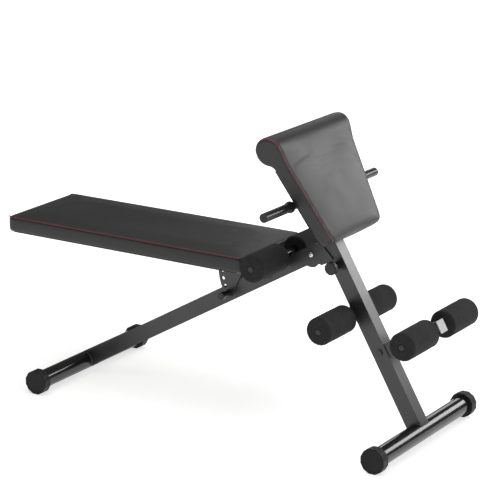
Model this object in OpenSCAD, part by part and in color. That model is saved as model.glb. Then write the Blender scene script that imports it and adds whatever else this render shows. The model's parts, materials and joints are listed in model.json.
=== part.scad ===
// Decline sit up bench: a flat board, a hip pad on a telescoping post,
// three pairs of foam rollers and a folding two-legged steel frame.
// +X runs from the rear foot to the front foot, +Z is up, Y = 0 is the middle.
// Most of the frame is drawn in a tilted frame: x runs up along the rear leg,
// z runs up along the front upright, and the origin is the rear foot's axis.

/* [Frame] */
// Distance between the two floor bars, centre to centre
foot_span = 1025; // [1000:5:1050]
// Slope of the rear leg above the floor, which the upright stands square to
leg_angle = 30; // [29:0.5:31]
// Depth of the upright and of the rear leg, seen from the side
tube_deep = 42; // [40:1:44]
// Width of the upright across the bench
tube_wide = 38; // [36:1:40]
// Wall of every square tube
tube_wall = 2; // [1.5:0.5:2.5]
// Height of the upright above the front floor bar's axis
upright_top = 560; // [550:5:570]
// Distance from the upright's middle back to the fold hinge
hinge_back = 58.7; // [58:0.1:60]

/* [Floor bars] */
// Length of the front floor bar over its caps
front_foot_len = 490; // [440:10:520]
// Length of the rear floor bar over its caps
rear_foot_len = 474; // [440:10:520]
// Outer radius of the floor bars
foot_r = 24; // [20:1:26]
// Distance from a cap's axis to each of its twelve flats
cap_flat = 32; // [30:1:36]

/* [Rollers] */
// Outer radius of the foam rollers
foam_r = 35.4; // [30:0.2:37]
// Place of each roller's inner end, from the middle of the bench
foam_in = 40; // [38:1:45]
// Place of each roller's outer end
foam_out = 170; // [150:5:180]
// Radius of the steel axles
axle_r = 8; // [7:0.5:8]
// Height of the front roller arm above the front floor bar's axis
arm_up = 220; // [210:5:230]
// How far the arm reaches in front of the upright
arm_reach = 165; // [150:5:180]
// Height of the rear roller pair above the front floor bar's axis
heel_up = 333.5; // [325:0.5:345]
// Place of the bench-end roller pair along the rear leg
knee_along = 746.7; // [745:0.1:750]

/* [Board] */
// Width of the board
board_w = 280; // [250:5:300]
// Left end of the board, from the rear foot's axis
board_left = -153; // [-180:1:-120]
// Right end of the board, from the rear foot's axis
board_right = 586; // [580:1:588]
// Underside of the board's plywood above the floor
board_low = 403; // [403:1:406]
// Height of the board's cushion top above the floor
board_top = 448; // [440:1:452]
// Place of the board's pivot along the rear leg
pivot_along = 675; // [670:1:680]
// Radius of the row of lock holes about the board's pivot
lock_r = 131; // [128:1:134]
// Turn of the board from one lock hole to the next
lock_step = 9; // [8.5:0.5:9]

/* [Hip pad] */
// Bottom edge of the pad above the front floor bar's axis
pad_low = 514; // [510:1:520]
// Top of the pad's roll above the front floor bar's axis
pad_high = 818; // [810:1:820]
// Width of the pad at its bottom edge
pad_w_low = 230; // [200:5:250]
// Width of the pad at its top
pad_w_high = 350; // [320:5:370]
// Front of the pad, in front of the upright's middle
pad_front = 86; // [82:1:88]
// Step between two heights of the pad
height_step = 25; // [20:1:25]
// Length of the handle bar over its grips
handle_len = 536; // [480:4:560]
// Height of the handle above the front floor bar's axis
handle_up = 638; // [636:1:640]

/* [Hidden] */
$fn = 64;

half_deep = tube_deep/2;
half_wide = tube_wide/2;
foot_z = cap_flat;
up_along = foot_span*cos(leg_angle);   // the upright's middle, along the rear leg
up_drop = foot_span*sin(leg_angle);    // the front foot's axis below the leg's middle line
run_fit = 0.06;                        // radial gap of everything that turns or slides
weld_fit = 0.02;                       // radial gap of a pin that is pressed or welded in
side_gap = 0.3;                        // gap between the rear leg and the plates beside it
bar_wall = 2;                          // wall of the round tubes

arm_w = 33;
arm_h = 32;
arm_axle_in = 20;                      // the front axle's distance from the arm's end
boss_r = 14.5;
axle_end = foam_out - 2;
post_deep = 36;
post_wide = 32;
post_low = 320;
post_high = 728;
bush_gap = 0.1;
stop_r = 5;
stop_along = 19.3;                     // the stop pin in front of the hinge
stop_below = half_deep + stop_r + side_gap;
bush_r = 9;
sleeve_r = 12;
leg_tail = 26;                         // the rear leg's tube beyond the hinge
plate_t = 4;
leg_half = half_wide - side_gap;       // the rear leg is slimmer than the upright

pin_up = 460;                          // height pin, above the front foot's axis
pin_back = 4;
pin_r = 5;
pin_travel = 9;
pin_tip = half_wide;                   // tip of the drawn height pin, from the middle
barrel_r = 9.5;
barrel_out = half_wide + 19;
post_holes = 5;

lock_rise = 4;                         // the board's pivot above the leg's middle line
lock_pin_r = 4.7;
lock_travel = 9;
lock_spacer = 14.5;                    // clear of the side plate's rim
lock_barrel_len = 19;
side_in = leg_half + 0.6;              // inner face of the board's side plates
side_out = side_in + plate_t;
lock_web = 3.5;                        // the bracket's own plate
lock_face = side_out + 0.7 + lock_web;  // where the barrel stands on the bracket
lock_out = lock_face + lock_barrel_len;
lock_deg = 180 + asin(lock_rise/lock_r);
lock_along = pivot_along - lock_r*cos(lock_deg - 180);
pivot_r = 6;
strap_t = 3;
ply_t = 12;
bolt_r = 4;

pad_back = 41;
roll_r = 39.5;
roll_front = 53.4;
handle_front = 30;
handle_r = 10;
grip_r = 11.5;
grip_in = 146;
pad_bottom_round = 24;
board_round = 12;

pivot_x = pivot_along*cos(leg_angle) - lock_rise*sin(leg_angle);
pivot_z = foot_z + pivot_along*sin(leg_angle) + lock_rise*cos(leg_angle);
front_axle_along = up_along + half_deep + arm_reach - arm_axle_in;
front_axle_x = front_axle_along*cos(leg_angle) - (arm_up - up_drop)*sin(leg_angle);
rear_x = -(board_left + front_axle_x + foam_r)/2;   // puts X = 0 in the middle of the bench

steel = [0.07, 0.07, 0.08];
plastic = [0.11, 0.11, 0.12];
foam = [0.16, 0.16, 0.17];
vinyl = [0.13, 0.13, 0.13];
zinc = [0.6, 0.6, 0.62];
ply = [0.75, 0.6, 0.42];

// ---- shared shapes ----

// tilted frame of the rear leg and the upright
module leg() translate([rear_x, 0, foot_z]) rotate([0, -leg_angle, 0]) children();

// the same tilt, from the front foot's axis: x to the front, z up along the upright
module upright() leg() translate([up_along, 0, -up_drop]) children();

// board's own frame: origin at its pivot, level
module board() translate([rear_x + pivot_x, 0, pivot_z]) children();

module rod(r, y0, y1) translate([0, y1, 0]) rotate([90, 0, 0]) cylinder(r = r, h = y1 - y0);

module tube_y(r_out, r_in, y0, y1) difference() {
    rod(r_out, y0, y1);
    rod(r_in, y0 - 1, y1 + 1);
}

module block(x0, x1, y0, y1, z0, z1) translate([x0, y0, z0]) cube([x1 - x0, y1 - y0, z1 - z0]);

// a flat shape drawn in x and z, from y0 to y0 + t
module plate(y0, t) translate([0, y0 + t, 0]) rotate([90, 0, 0]) linear_extrude(t) children();

module both_sides() {
    children();
    mirror([0, 1, 0]) children();
}

module box_tube(deep, wide, wall, z0, z1) difference() {
    block(-deep/2, deep/2, -wide/2, wide/2, z0, z1);
    block(-deep/2 + wall, deep/2 - wall, -wide/2 + wall, wide/2 - wall, z0 - 1, z1 + 1);
}

function arc(x, y, r, from, to, steps) =
    [for (i = [0:steps]) let (t = from + (to - from)*i/steps) [x + r*cos(t), y + r*sin(t)]];

module foot_bar(length) color(steel) tube_y(foot_r, foot_r - bar_wall, -length/2 + 4, length/2 - 4);

module foot_caps(length) color(plastic) both_sides() difference() {
    translate([0, length/2, 0]) rotate([90, 0, 0]) rotate(15)
        cylinder(r = cap_flat/cos(15), h = 26, $fn = 12);
    rod(foot_r + weld_fit, length/2 - 27, length/2 - 4);
}

module axle() color(zinc) tube_y(axle_r, axle_r - bar_wall, -axle_end, axle_end);

// a plug with a low domed head in each end of an axle
module axle_caps() color(plastic) both_sides() translate([0, axle_end, 0]) rotate([-90, 0, 0])
    rotate_extrude() polygon(concat([[0, -14], [axle_r - bar_wall - weld_fit, -14],
        [axle_r - bar_wall - weld_fit, 0], [axle_r, 0], [axle_r, 1.4]],
        [[axle_r - 1.2, 2.2], [axle_r - 3.5, 2.6], [0, 2.6]]));

module foam_roller(side) color(foam) scale([1, side, 1]) translate([0, foam_in, 0]) rotate([-90, 0, 0])
    rotate_extrude() polygon(concat([[axle_r + run_fit, 0]],
        arc(foam_r - 5, 5, 5, -90, 0, 4),
        arc(foam_r - 8, foam_out - foam_in - 8, 8, 0, 90, 5),
        [[axle_r + run_fit, foam_out - foam_in]]));

// a coil of round wire along -y, from y0 outwards
function coil_point(r, wire, y0, length, turns, i, steps, j) =
    let (t = i/steps, a = 360*turns*t, b = 60*j,
         rr = r + wire*cos(b))
    [rr*cos(a), y0 - length*t + wire*sin(b), rr*sin(a)];

module coil(r, wire, y0, length, turns) {
    steps = turns*12;
    polyhedron(
        points = [for (i = [0:steps], j = [0:5]) coil_point(r, wire, y0, length, turns, i, steps, j)],
        faces = concat(
            [[for (j = [0:5]) j]],
            [for (i = [0:steps - 1], j = [0:5]) let (k = (j + 1)%6)
                [6*i + j, 6*i + 6 + j, 6*i + 6 + k, 6*i + k]],
            [[for (j = [5:-1:0]) 6*steps + j]]));
}

module hex(across, y0, y1) translate([0, y1, 0]) rotate([90, 0, 0])
    cylinder(r = across/2/cos(30), h = y1 - y0, $fn = 6);

// ---- front frame ----

module at_arm() translate([0, 0, arm_up]) children();
module at_front_axle() translate([half_deep + arm_reach - arm_axle_in, 0, arm_up]) children();
module at_heel_axle() translate([-half_deep - boss_r, 0, heel_up]) children();
module at_knee_axle() translate([knee_along, 0, half_deep + axle_r]) children();
module at_hinge() translate([up_along - hinge_back, 0, 0]) children();
module at_height_pin() translate([-pin_back, 0, pin_up]) children();
module at_lock() translate([lock_along, 0, 0]) children();
module at_pivot() translate([pivot_along, 0, lock_rise]) children();
module at_handle() translate([handle_front, 0, handle_up]) children();

module front_upright() color(steel) upright() difference() {
    box_tube(tube_deep, tube_wide, tube_wall, 8, upright_top);
    rod(foot_r + weld_fit, -half_wide - 1, half_wide + 1);
    at_arm() block(0, half_deep + 1, -arm_w/2, arm_w/2, -arm_h/2, arm_h/2);
    at_arm() rod(pin_r + weld_fit, -half_wide - 1, half_wide + 1);
    at_height_pin() rod(pin_r + run_fit, -half_wide - 1, 0);
}

module front_foot_bar() upright() foot_bar(front_foot_len);
module front_foot_caps() translate([rear_x + foot_span, 0, foot_z]) foot_caps(front_foot_len);

module hinge_plates() color(steel) leg() at_hinge() both_sides() difference() {
    plate(half_wide, plate_t) polygon(concat(arc(0, 0, 33, 140, 262, 12),
        [[9, -29.5], [16, -35.5], [39, -36.5], [53.5, -33], [43, 7], [29, 20], [24, 21.2]]));
    rod(bush_r + weld_fit, half_wide - 1, half_wide + plate_t + 1);
    translate([stop_along, 0, -stop_below])
        rod(stop_r + weld_fit, half_wide - 1, half_wide + plate_t + 1);
}

module hinge_bush() color(zinc) leg() at_hinge()
    tube_y(bush_r, bush_r - bar_wall, -half_wide - plate_t - 1.5, half_wide + plate_t + 1.5);

module hinge_stop_pin() color(zinc) leg() at_hinge() translate([stop_along, 0, -stop_below])
    rod(stop_r, -half_wide - plate_t, half_wide + plate_t);

module roller_arm() color(steel) upright() difference() {
    at_arm() block(-half_deep + tube_wall + 0.5, half_deep + arm_reach, -arm_w/2, arm_w/2,
        -arm_h/2, arm_h/2);
    at_arm() block(-half_deep, half_deep + arm_reach + 1, -arm_w/2 + tube_wall,
        arm_w/2 - tube_wall, -arm_h/2 + tube_wall, arm_h/2 - tube_wall);
    at_arm() rod(pin_r + weld_fit, -half_wide, half_wide);
    at_front_axle() rod(axle_r + weld_fit, -half_wide, half_wide);
}

module arm_end_cap() color(plastic) upright() at_arm() {
    block(half_deep + arm_reach, half_deep + arm_reach + 2.5, -arm_w/2, arm_w/2, -arm_h/2, arm_h/2);
    block(half_deep + arm_reach - 9, half_deep + arm_reach, -arm_w/2 + tube_wall + 0.1,
        arm_w/2 - tube_wall - 0.1, -arm_h/2 + tube_wall + 0.1, arm_h/2 - tube_wall - 0.1);
}

module arm_bolt() color(zinc) upright() at_arm() {
    rod(pin_r, -half_wide, half_wide + 11);
    rod(10, -half_wide - 2, -half_wide);
    rod(7.5, -half_wide - 3.6, -half_wide - 2);
}

module arm_nut() color(zinc) upright() at_arm() difference() {
    hex(17, half_wide, half_wide + 8);
    rod(pin_r + weld_fit, half_wide - 1, half_wide + 9);
}

module front_axle() upright() at_front_axle() axle();
module heel_axle() upright() at_heel_axle() axle();
module knee_axle() leg() at_knee_axle() axle();
module front_axle_caps() upright() at_front_axle() axle_caps();
module heel_axle_caps() upright() at_heel_axle() axle_caps();
module knee_axle_caps() leg() at_knee_axle() axle_caps();

module heel_axle_boss() color(steel) upright() at_heel_axle() difference() {
    union() {
        rod(boss_r, -30, 30);
        block(0, boss_r, -half_wide, half_wide, -9, 9);
    }
    rod(axle_r + weld_fit, -31, 31);
}

// sleeve in the upright's mouth that guides the post
module post_bushing() color(plastic) upright() difference() {
    union() {
        block(-half_deep, half_deep, -half_wide, half_wide, upright_top, upright_top + 6);
        block(-half_deep + tube_wall, half_deep - tube_wall, -half_wide + tube_wall,
            half_wide - tube_wall, upright_top - 40, upright_top);
    }
    block(-post_deep/2 - bush_gap, post_deep/2 + bush_gap, -post_wide/2 - bush_gap,
        post_wide/2 + bush_gap, upright_top - 41, upright_top + 7);
}

// ribbed barrel of the height pin
module height_barrel() color(plastic) upright() at_height_pin() difference() {
    union() {
        rod(barrel_r - 1.2, -barrel_out, -half_wide);
        for (i = [0:3]) rod(barrel_r, -half_wide - 3.2 - 5*i, -half_wide - 5*i);
    }
    rod(7.2, -barrel_out + 2, -half_wide + 1);
    rod(pin_r + run_fit, -barrel_out - 1, -half_wide);
}

// height pin, drawn clear of the post
module height_pin() color(zinc) upright() at_height_pin() {
    rod(pin_r, -barrel_out - 13, -pin_tip);
    rod(7, -pin_tip - pin_travel - 2.4, -pin_tip - pin_travel - 0.3);
}

module height_spring() color(zinc) upright() at_height_pin()
    coil(6.1, 0.5, -pin_tip - pin_travel - 3, 4.4, 3);

module height_knob() color(plastic) upright() at_height_pin() difference() {
    union() {
        rod(16.5, -barrel_out - 15, -barrel_out - 4);
        rod(14, -barrel_out - 16.2, -barrel_out - 15);
    }
    for (i = [0:11]) rotate([0, 30*i, 0]) translate([17.8, 0, 0])
        rod(2.2, -barrel_out - 15 - 1, -barrel_out - 3);
    rod(barrel_r + 0.5, -barrel_out - 4 - 6.5, -barrel_out - 3);
    rod(pin_r + weld_fit, -barrel_out - 13, -barrel_out - 3);
}

// ---- rear leg ----

module rear_leg() color(steel) leg() difference() {
    rotate([0, 90, 0]) box_tube(tube_deep, 2*leg_half, tube_wall, 8,
        up_along - hinge_back + leg_tail);
    rod(foot_r + weld_fit, -half_wide - 1, half_wide + 1);
    at_hinge() rod(sleeve_r + weld_fit, -half_wide - 1, half_wide + 1);
    at_pivot() rod(pivot_r + 4 + weld_fit, -half_wide - 1, half_wide + 1);
    at_lock() rod(lock_pin_r + run_fit, -half_wide - 1, half_wide + 1);
}

module hinge_sleeve() color(steel) leg() at_hinge()
    tube_y(sleeve_r, bush_r + run_fit, -leg_half, leg_half);

module rear_foot_bar() leg() foot_bar(rear_foot_len);
module rear_foot_caps() translate([rear_x, 0, foot_z]) foot_caps(rear_foot_len);

module leg_end_plug() color(plastic) leg() at_hinge() {
    block(leg_tail, leg_tail + 2, -leg_half, leg_half, -half_deep, half_deep);
    block(leg_tail - 9, leg_tail, -leg_half + tube_wall + 0.1, leg_half - tube_wall - 0.1,
        -half_deep + tube_wall + 0.1, half_deep - tube_wall - 0.1);
}

module pivot_sleeve() color(steel) leg() at_pivot()
    tube_y(pivot_r + 4, pivot_r + run_fit, -leg_half, leg_half);

// arm that carries the lock barrel outside the board's side plate
module lock_bracket() color(steel) leg() at_lock() difference() {
    union() {
        plate(-lock_face, lock_web) union() {
            circle(r = 10);
            translate([-32, -8]) square([32, 16]);
        }
        block(-32, -lock_spacer, -lock_face + lock_web, -leg_half, -8, 8);
    }
    rod(lock_pin_r + run_fit, -lock_face - 1, -leg_half);
}

module lock_barrel() color(plastic) leg() at_lock() difference() {
    rod(8, -lock_out, -lock_face);
    rod(6.6, -lock_out + 2, -lock_face + 1);
    rod(lock_pin_r + run_fit, -lock_out - 1, -lock_face);
}

// lock pin, drawn clear of the board's side plate
module lock_pin() color(zinc) leg() at_lock() {
    rod(lock_pin_r, -lock_out - 11.5, -side_out - 0.4);
    rod(6.4, -lock_face - lock_travel - 2.4, -lock_face - lock_travel - 0.2);
}

module lock_spring() color(zinc) leg() at_lock()
    coil(5.6, 0.4, -lock_face - lock_travel - 2.9, 4.4, 3);

module lock_knob() color(plastic) leg() at_lock() difference() {
    rod(10, -lock_out - 13, -lock_out + 0.5);
    rod(8.4, -lock_out - 9.6, -lock_out + 1);
    rod(lock_pin_r + weld_fit, -lock_out - 11.5, -lock_out);
}

// ---- board ----

lock_world = lock_deg + leg_angle;
plate_top = board_low - strap_t - pivot_z;
rail_low = plate_top - 22;

// side plates with the rail, the pivot ear and the toothed row of lock holes
module board_side_plates() color(steel) board() both_sides() difference() {
    plate(side_in, plate_t) union() {
        translate([-620, rail_low]) square([620, 22]);
        circle(r = 14);
        translate([-30, 0]) square([44, plate_top]);
        rotate(lock_world) translate([lock_r, 0]) circle(r = 11);
        polygon(concat(arc(0, 0, lock_r + 11, 172, lock_world, 12),
            [[-lock_r*cos(lock_world - 180) + 7, -lock_r*sin(lock_world - 180) - 8.5],
             [-74, -16.6], [-60, rail_low + 1]]));
    }
    rod(pivot_r + run_fit, side_in - 1, side_out + 1);
    for (k = [0:3]) rotate([0, -(lock_world - lock_step*k), 0]) translate([lock_r, 0, 0])
        rod(lock_pin_r + run_fit, side_in - 1, side_out + 1);
}

strap_at = [-590, -318, -46];          // middle of each strap, from the board's pivot
strap_y = 95;

module board_straps() color(steel) board() for (x = strap_at) difference() {
    block(x - 15, x + 15, -strap_y - 15, strap_y + 15, plate_top, plate_top + strap_t);
    for (s = [-1, 1]) translate([x, s*strap_y, plate_top - 1]) cylinder(r = bolt_r + 0.2, h = 9);
}

module board_bolts() color(zinc) board() for (x = strap_at, s = [-1, 1])
    translate([x, s*strap_y, plate_top]) {
        cylinder(r = bolt_r, h = strap_t + 9);
        translate([0, 0, -5]) cylinder(r = 6.5/cos(30), h = 5, $fn = 6);
    }

module rounded_slab(x0, x1, half_w, r, z0, z1) translate([0, 0, z0]) linear_extrude(z1 - z0) union() {
    translate([x0 + r, -half_w]) square([x1 - x0 - 2*r, 2*half_w]);
    translate([x0, -half_w + r]) square([x1 - x0, 2*half_w - 2*r]);
    for (x = [x0 + r, x1 - r], y = [-half_w + r, half_w - r]) translate([x, y]) circle(r = r);
}

module board_base() color(ply) translate([rear_x, 0, 0]) difference() {
    rounded_slab(board_left + 4, board_right - 4, board_w/2 - 4, board_round - 4,
        board_low, board_low + ply_t);
    for (x = strap_at, s = [-1, 1]) translate([pivot_x + x, s*strap_y, board_low - 1])
        cylinder(r = bolt_r + 0.05, h = 10.5);
}

module board_cushion() color(vinyl) translate([rear_x, 0, 0])
    rounded_slab(board_left, board_right, board_w/2, board_round, board_low + ply_t, board_top);

module board_pivot_bolt() color(zinc) leg() at_pivot() {
    rod(pivot_r, -side_out, side_out + 12);
    rod(12, -side_out - 2, -side_out);
    rod(9, -side_out - 4, -side_out - 2);
}

module board_pivot_nut() color(zinc) leg() at_pivot() difference() {
    hex(19, side_out, side_out + 9);
    rod(pivot_r + weld_fit, side_out - 1, side_out + 10);
}

// ---- hip pad ----

module pad_post() color(steel) upright() difference() {
    box_tube(post_deep, post_wide, tube_wall, post_low, post_high);
    at_height_pin() for (k = [0:post_holes - 1]) translate([0, 0, -height_step*k])
        rod(pin_r + run_fit, -half_wide, 0);
}

module post_plug() color(plastic) upright() {
    block(-post_deep/2, post_deep/2, -post_wide/2, post_wide/2, post_high, post_high + 2.5);
    block(-post_deep/2 + tube_wall + 0.1, post_deep/2 - tube_wall - 0.1,
        -post_wide/2 + tube_wall + 0.1, post_wide/2 - tube_wall - 0.1, post_high - 10, post_high);
}

bracket_low = 580;
bracket_high = 700;
tab_y = 48;
tab_at = [598, 682];

// cheeks welded to the post, with tabs that bolt to the pad's base
module pad_brackets() color(steel) upright() both_sides() difference() {
    union() {
        block(-12, pad_back, post_wide/2, post_wide/2 + plate_t, bracket_low, bracket_high);
        for (b = tab_at) block(pad_back - plate_t, pad_back, post_wide/2, tab_y + 14, b - 16, b + 16);
    }
    at_handle() rod(handle_r + weld_fit, post_wide/2 - 1, post_wide/2 + plate_t + 1);
    for (b = tab_at) translate([pad_back - plate_t - 1, tab_y, b]) rotate([0, 90, 0])
        cylinder(r = bolt_r + 0.2, h = plate_t + 2);
}

module pad_bolts() color(zinc) upright() for (b = tab_at, s = [-1, 1])
    translate([pad_back - plate_t, s*tab_y, b]) rotate([0, 90, 0]) {
        cylinder(r = bolt_r, h = plate_t + 9);
        translate([0, 0, -5]) cylinder(r = 6.5/cos(30), h = 5, $fn = 6);
    }

function pad_half(b, inset) = pad_w_low/2 - inset
    + (b - pad_low)/(pad_high - pad_low)*(pad_w_high - pad_w_low)/2;

// the pad seen from its front, drawn in y and z, with rounded bottom corners
module pad_outline(low, high, inset, round_r) {
    slant = atan((pad_w_high - pad_w_low)/2/(pad_high - pad_low));
    reach = pad_half(low + round_r, inset) - round_r/cos(slant);
    polygon(concat([[pad_half(high, inset), high], [-pad_half(high, inset), high]],
        arc(-reach, low + round_r, round_r, 180 + slant, 270, 6),
        arc(reach, low + round_r, round_r, 270, 360 - slant, 6)));
}

module pad_front_cut(x0, x1, low, high, inset, round_r) translate([x0, 0, 0])
    rotate([90, 0, 90]) linear_extrude(x1 - x0) pad_outline(low, high, inset, round_r);

ply_front = pad_back + ply_t;
ply_high = 742;

module pad_base() color(ply) upright() difference() {
    pad_front_cut(pad_back, ply_front, pad_low + 4, ply_high, 4, pad_bottom_round - 4);
    for (b = tab_at, s = [-1, 1]) translate([pad_back - 1, s*tab_y, b]) rotate([0, 90, 0])
        cylinder(r = bolt_r + 0.05, h = 10.5);
}

module pad_cushion() color(vinyl) upright() difference() {
    intersection() {
        plate(-pad_w_high/2 - 10, pad_w_high + 20) union() {
            translate([ply_front, pad_low]) square([pad_front - ply_front, ply_high - pad_low]);
            translate([roll_front, pad_high - roll_r]) circle(r = roll_r);
            polygon([[ply_front, 715], [pad_front, 750], [roll_front + roll_r, pad_high - roll_r - 3],
                [roll_front, pad_high - roll_r], [roll_front - roll_r + 8, pad_high - roll_r - 22],
                [pad_back, 738], [pad_back, ply_high], [ply_front, ply_high]]);
        }
        pad_front_cut(0, 120, pad_low, pad_high + 1, 0, pad_bottom_round);
    }
    block(pad_back - 30, ply_front, -200, 200, pad_low - 1, ply_high);
}

module handle_bar() color(steel) upright() at_handle()
    tube_y(handle_r, handle_r - bar_wall, -handle_len/2 + 6, handle_len/2 - 6);

module handle_grips() color(plastic) upright() at_handle() both_sides() difference() {
    union() {
        rod(grip_r, grip_in, handle_len/2);
        rod(14.5, grip_in, grip_in + 5);
    }
    rod(handle_r + weld_fit, grip_in - 1, handle_len/2 - 6);
}

// ---- rollers ----

module front_foam_near() upright() at_front_axle() foam_roller(-1);
module front_foam_far() upright() at_front_axle() foam_roller(1);
module heel_foam_near() upright() at_heel_axle() foam_roller(-1);
module heel_foam_far() upright() at_heel_axle() foam_roller(1);
module knee_foam_near() leg() at_knee_axle() foam_roller(-1);
module knee_foam_far() leg() at_knee_axle() foam_roller(1);

front_upright();
front_foot_bar();
front_foot_caps();
hinge_plates();
hinge_bush();
hinge_stop_pin();
roller_arm();
arm_end_cap();
arm_bolt();
arm_nut();
front_axle();
heel_axle_boss();
heel_axle();
front_axle_caps();
heel_axle_caps();
post_bushing();
height_barrel();
height_pin();
height_spring();
height_knob();
rear_leg();
hinge_sleeve();
rear_foot_bar();
rear_foot_caps();
leg_end_plug();
knee_axle();
knee_axle_caps();
pivot_sleeve();
lock_bracket();
lock_barrel();
lock_pin();
lock_spring();
lock_knob();
board_side_plates();
board_straps();
board_bolts();
board_base();
board_cushion();
board_pivot_bolt();
board_pivot_nut();
pad_post();
post_plug();
pad_brackets();
pad_bolts();
pad_base();
pad_cushion();
handle_bar();
handle_grips();
front_foam_near();
front_foam_far();
heel_foam_near();
heel_foam_far();
knee_foam_near();
knee_foam_far();
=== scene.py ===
import json
import math
import bmesh
import bpy
import numpy as np
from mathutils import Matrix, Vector, noise


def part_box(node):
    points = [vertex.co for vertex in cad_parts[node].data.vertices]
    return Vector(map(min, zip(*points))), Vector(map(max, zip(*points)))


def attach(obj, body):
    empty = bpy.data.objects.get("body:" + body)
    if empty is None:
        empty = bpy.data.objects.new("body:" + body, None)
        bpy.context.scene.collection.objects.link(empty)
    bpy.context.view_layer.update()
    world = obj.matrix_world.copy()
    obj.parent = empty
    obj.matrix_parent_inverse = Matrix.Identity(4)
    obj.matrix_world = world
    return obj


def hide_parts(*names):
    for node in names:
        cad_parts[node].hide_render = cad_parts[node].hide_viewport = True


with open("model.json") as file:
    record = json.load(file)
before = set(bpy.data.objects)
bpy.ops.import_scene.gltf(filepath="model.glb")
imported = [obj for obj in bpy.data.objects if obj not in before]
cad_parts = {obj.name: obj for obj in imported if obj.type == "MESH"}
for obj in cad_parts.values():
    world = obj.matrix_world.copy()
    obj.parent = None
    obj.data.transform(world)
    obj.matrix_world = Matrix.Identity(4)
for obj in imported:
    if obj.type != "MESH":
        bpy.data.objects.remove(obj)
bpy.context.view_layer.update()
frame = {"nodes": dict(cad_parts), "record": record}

nodes = frame["nodes"]
joints = {j["name"]: j for j in frame["record"]["behaviour"]["joints"]}

# the frame leans: up runs along the upright, ahead points out of its front face
across = Vector((0, 1, 0))
upAxis = Vector(joints["pad_height"]["axis"]).normalized()
ahead = across.cross(upAxis)


def reach(node, axis):
    # lowest and highest place of a CAD node along an axis
    places = [axis.dot(v.co) for v in nodes[node].data.vertices]
    return min(places), max(places)


def middle(node):
    low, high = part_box(node)
    return (Vector(low) + Vector(high)) / 2


def leaning(f, y, u):
    return ahead * f + across * y + upAxis * u


# mesh tools

def makeMesh(name, points, faces, smooth=True):
    mesh = bpy.data.meshes.new(name)
    mesh.from_pydata([tuple(p) for p in points], [], faces)
    mesh.update()
    obj = bpy.data.objects.new(name, mesh)
    bpy.context.scene.collection.objects.link(obj)
    fixNormals(obj)
    mesh.polygons.foreach_set("use_smooth", [smooth] * len(mesh.polygons))
    return obj


def fixNormals(obj):
    work = bmesh.new()
    work.from_mesh(obj.data)
    bmesh.ops.recalc_face_normals(work, faces=work.faces)
    work.to_mesh(obj.data)
    work.free()


def joinRings(rings, closeEnds=True):
    # skins a list of rings that all have the same count of points
    points = [p for ring in rings for p in ring]
    n = len(rings[0])
    faces = []
    for i in range(len(rings) - 1):
        for j in range(n):
            k = (j + 1) % n
            faces.append((i * n + j, i * n + k, (i + 1) * n + k, (i + 1) * n + j))
    if closeEnds:
        faces.append(tuple(range(n)))
        last = (len(rings) - 1) * n
        faces.append(tuple(range(last, last + n)))
    return points, faces


def lathe(name, centre, profile, turns=96):
    # profile holds (radius, place along Y); the piece turns about Y through centre
    rings = []
    for radius, y in profile:
        rings.append([(centre[0] + radius * math.cos(2 * math.pi * k / turns), y,
                       centre[2] + radius * math.sin(2 * math.pi * k / turns)) for k in range(turns)])
    points, faces = joinRings(rings, closeEnds=False)
    n = len(rings[0])
    last = (len(rings) - 1) * n
    for j in range(n):  # close the loop of the profile
        k = (j + 1) % n
        faces.append((last + j, last + k, k, j))
    return makeMesh(name, points, faces)


def sweep(name, path, radii, sides=10, closed=False):
    # a round cord along a path; radii is one number or one for each point
    count = len(path)
    if not hasattr(radii, "__len__"):
        radii = [radii] * count
    rings = []
    side = None
    for i, p in enumerate(path):
        before = path[i - 1] if closed or i else p
        after = path[(i + 1) % count] if closed or i < count - 1 else p
        run = (Vector(after) - Vector(before)).normalized()
        if side is None:
            side = run.orthogonal().normalized()
        side = (side - run * side.dot(run)).normalized()
        other = run.cross(side)
        rings.append([Vector(p) + (side * math.cos(2 * math.pi * k / sides)
                      + other * math.sin(2 * math.pi * k / sides)) * radii[i] for k in range(sides)])
    points, faces = joinRings(rings, closeEnds=not closed)
    if closed:
        last = (count - 1) * sides
        gap = min(range(sides), key=lambda s: (Vector(points[last]) - Vector(points[s])).length)
        for j in range(sides):
            k = (j + 1) % sides
            faces.append((last + j, last + k, (k + gap) % sides, (j + gap) % sides))
    return makeMesh(name, points, faces)


def bevelEdges(obj, width, segments=2, angle=35):
    mod = obj.modifiers.new("softEdges", "BEVEL")
    mod.width = width
    mod.segments = segments
    mod.limit_method = "ANGLE"
    mod.angle_limit = math.radians(angle)
    mod.harden_normals = False


def applyModifiers(obj):
    depsgraph = bpy.context.evaluated_depsgraph_get()
    mesh = bpy.data.meshes.new_from_object(obj.evaluated_get(depsgraph))
    old = obj.data
    obj.modifiers.clear()
    obj.data = mesh
    bpy.data.meshes.remove(old)


def resample(path, step, closed=False):
    # points at an even step along a path
    ends = list(path) + ([path[0]] if closed else [])
    out = []
    carry = 0.0
    for a, b in zip(ends[:-1], ends[1:]):
        a, b = Vector(a), Vector(b)
        length = (b - a).length
        while carry < length:
            out.append(a.lerp(b, carry / length))
            carry += step
        carry -= length
    return out


# finishes

def newMaterial(name):
    mat = bpy.data.materials.new(name)
    mat.use_nodes = True
    tree = mat.node_tree
    shader = tree.nodes["Principled BSDF"]
    coords = tree.nodes.new("ShaderNodeTexCoord")
    return mat, tree, shader, coords.outputs["Object"]


def noiseNode(tree, coords, scale, detail=3.0, rough=0.55):
    n = tree.nodes.new("ShaderNodeTexNoise")
    n.inputs["Scale"].default_value = scale
    n.inputs["Detail"].default_value = detail
    n.inputs["Roughness"].default_value = rough
    tree.links.new(coords, n.inputs["Vector"])
    return n


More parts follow.
